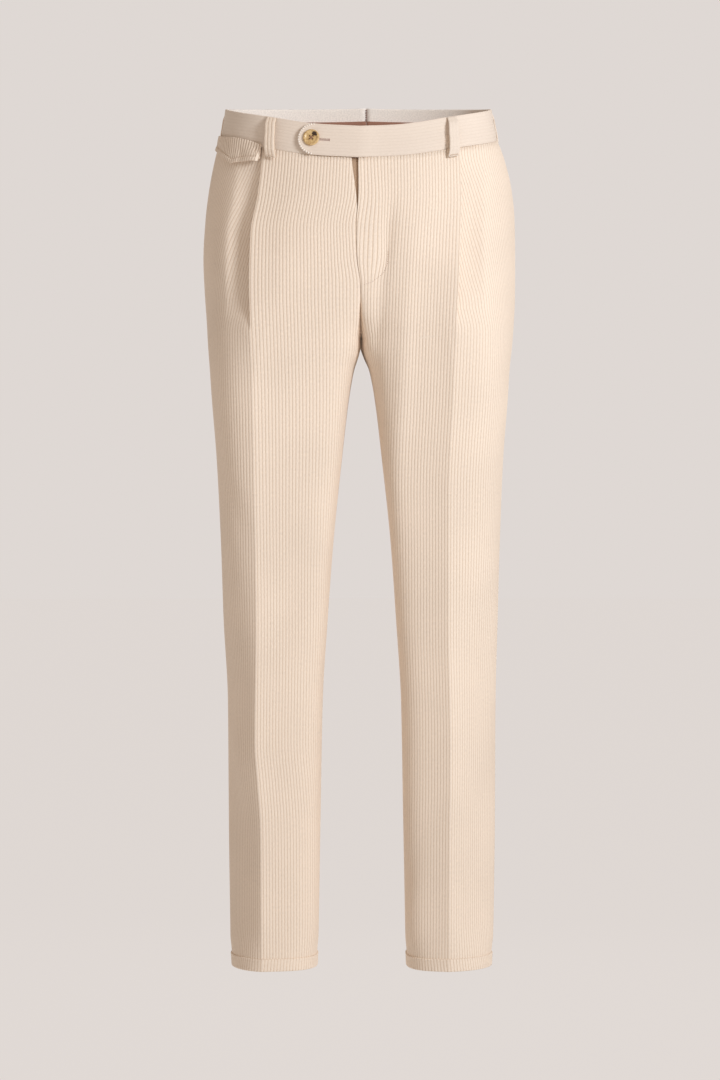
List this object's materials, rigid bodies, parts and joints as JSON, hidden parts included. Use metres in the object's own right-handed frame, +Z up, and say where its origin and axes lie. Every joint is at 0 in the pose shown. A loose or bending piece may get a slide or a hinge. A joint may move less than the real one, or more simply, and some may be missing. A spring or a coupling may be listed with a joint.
{
  "type": "corduroy trousers",
  "caption": "Wide-wale corduroy trousers, filled out and hollow, with a reverse-pleated front, pressed creases, belt loops, a buttoned waistband tab, a coin pocket flap and narrow turn-ups.",
  "frame": {"origin": "middle of the waist opening, level with the waistband at the side seams", "axes": "+Z up towards the waist, -Y out of the wearer's front, +X towards the wearer's left"},
  "size_m": [0.3833, 0.246, 1.067],
  "materials": {
    "corduroy": "cream cotton corduroy with a soft brushed nap",
    "waist_lining": "plain matt rose-brown cotton",
    "horn": "polished yellow-brown horn"
  },
  "bodies": {
    "root": {"front_right": "corduroy", "front_left": "corduroy", "back_right": "corduroy", "back_left": "corduroy", "waistband_right": "corduroy", "waistband_left": "corduroy", "fly_shield": "corduroy", "coin_flap": "corduroy", "belt_loop_front_right": "corduroy", "belt_loop_front_left": "corduroy", "belt_loop_side_right": "corduroy", "belt_loop_side_left": "corduroy", "belt_loop_back_right": "corduroy", "belt_loop_back_left": "corduroy", "turn_up_right": "corduroy", "turn_up_left": "corduroy", "waist_lining_right": "waist_lining", "waist_lining_left": "waist_lining", "button": "horn"}
  },
  "joints": []
}
